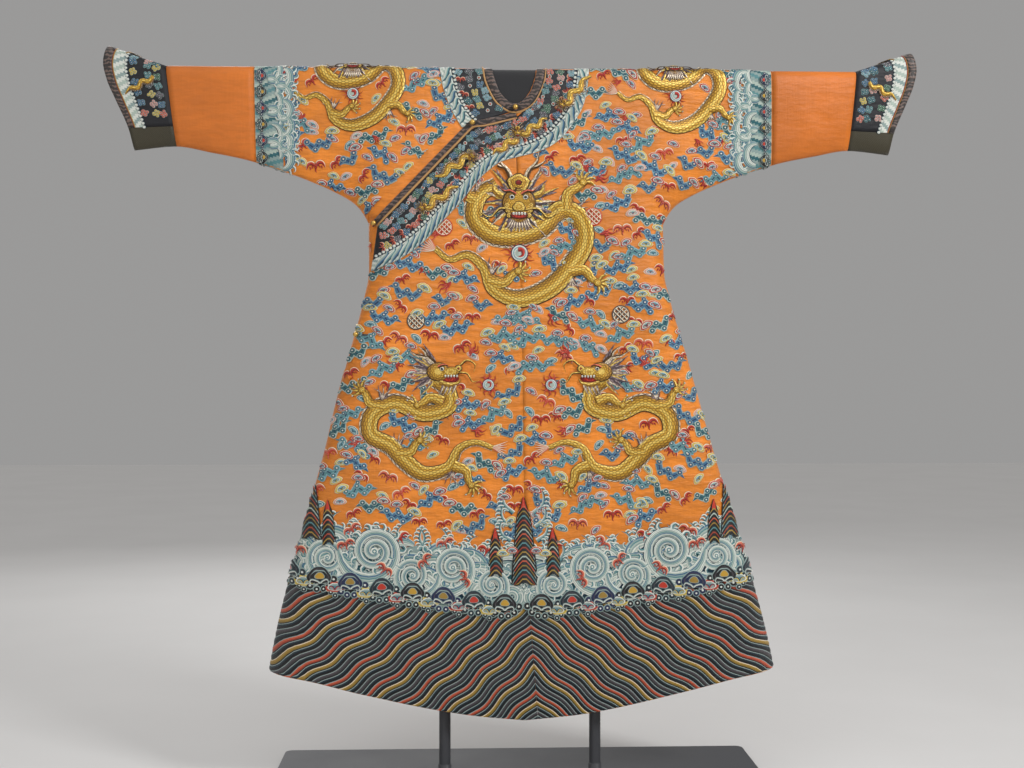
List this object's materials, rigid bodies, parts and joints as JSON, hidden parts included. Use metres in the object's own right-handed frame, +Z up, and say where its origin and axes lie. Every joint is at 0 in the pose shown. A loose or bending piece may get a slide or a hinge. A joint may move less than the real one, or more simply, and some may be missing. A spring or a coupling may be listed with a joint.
{
  "type": "dragon robe on a display stand",
  "caption": "Long embroidered satin robe with side fastening and flared cuffs, hung flat with its arms out on a two-post stand with a flat base.",
  "frame": {"origin": "middle of the base plate's underside", "axes": "+Z up, +X towards the wearer's left sleeve, the robe's front faces -Y"},
  "size_m": [1.777, 0.53, 1.6149],
  "materials": {
    "silk_satin": "apricot-orange silk satin with a soft sheen, embroidered",
    "dark_silk": "black silk under dense polychrome embroidery",
    "border_brocade": "woven brocade in dark brown, grey and old gold",
    "olive_silk": "plain olive silk",
    "gilt_thread": "couched gilt thread and gold piping",
    "gilt_brass": "gilt, softly polished",
    "silk_cord": "dark braided silk cord",
    "form_cover": "smooth black jersey",
    "stand_paint": "dark grey satin powder coat"
  },
  "bodies": {
    "root": {"body_left": "silk_satin", "body_right": "silk_satin", "front_overlap": "silk_satin", "sleeve_left": "silk_satin", "sleeve_right": "silk_satin", "cuff_left": "dark_silk", "cuff_right": "dark_silk", "cuff_under_left": "olive_silk", "cuff_under_right": "olive_silk", "cuff_border_left": "border_brocade", "cuff_border_right": "border_brocade", "collar_left": "dark_silk", "collar_right": "dark_silk", "collar_back": "dark_silk", "neck_band": "border_brocade", "lapel_binding": "border_brocade", "lapel_piping": "gilt_thread", "button_neck": "gilt_brass", "button_collar": "gilt_brass", "button_underarm": "gilt_brass", "button_side": "gilt_brass", "loop_neck": "silk_cord", "loop_collar": "silk_cord", "loop_underarm": "silk_cord", "loop_side": "silk_cord", "knot_waist": "silk_satin", "form_body": "form_cover", "form_arm_left": "form_cover", "form_arm_right": "form_cover", "post_left": "stand_paint", "post_right": "stand_paint", "base_plate": "stand_paint"}
  },
  "joints": []
}
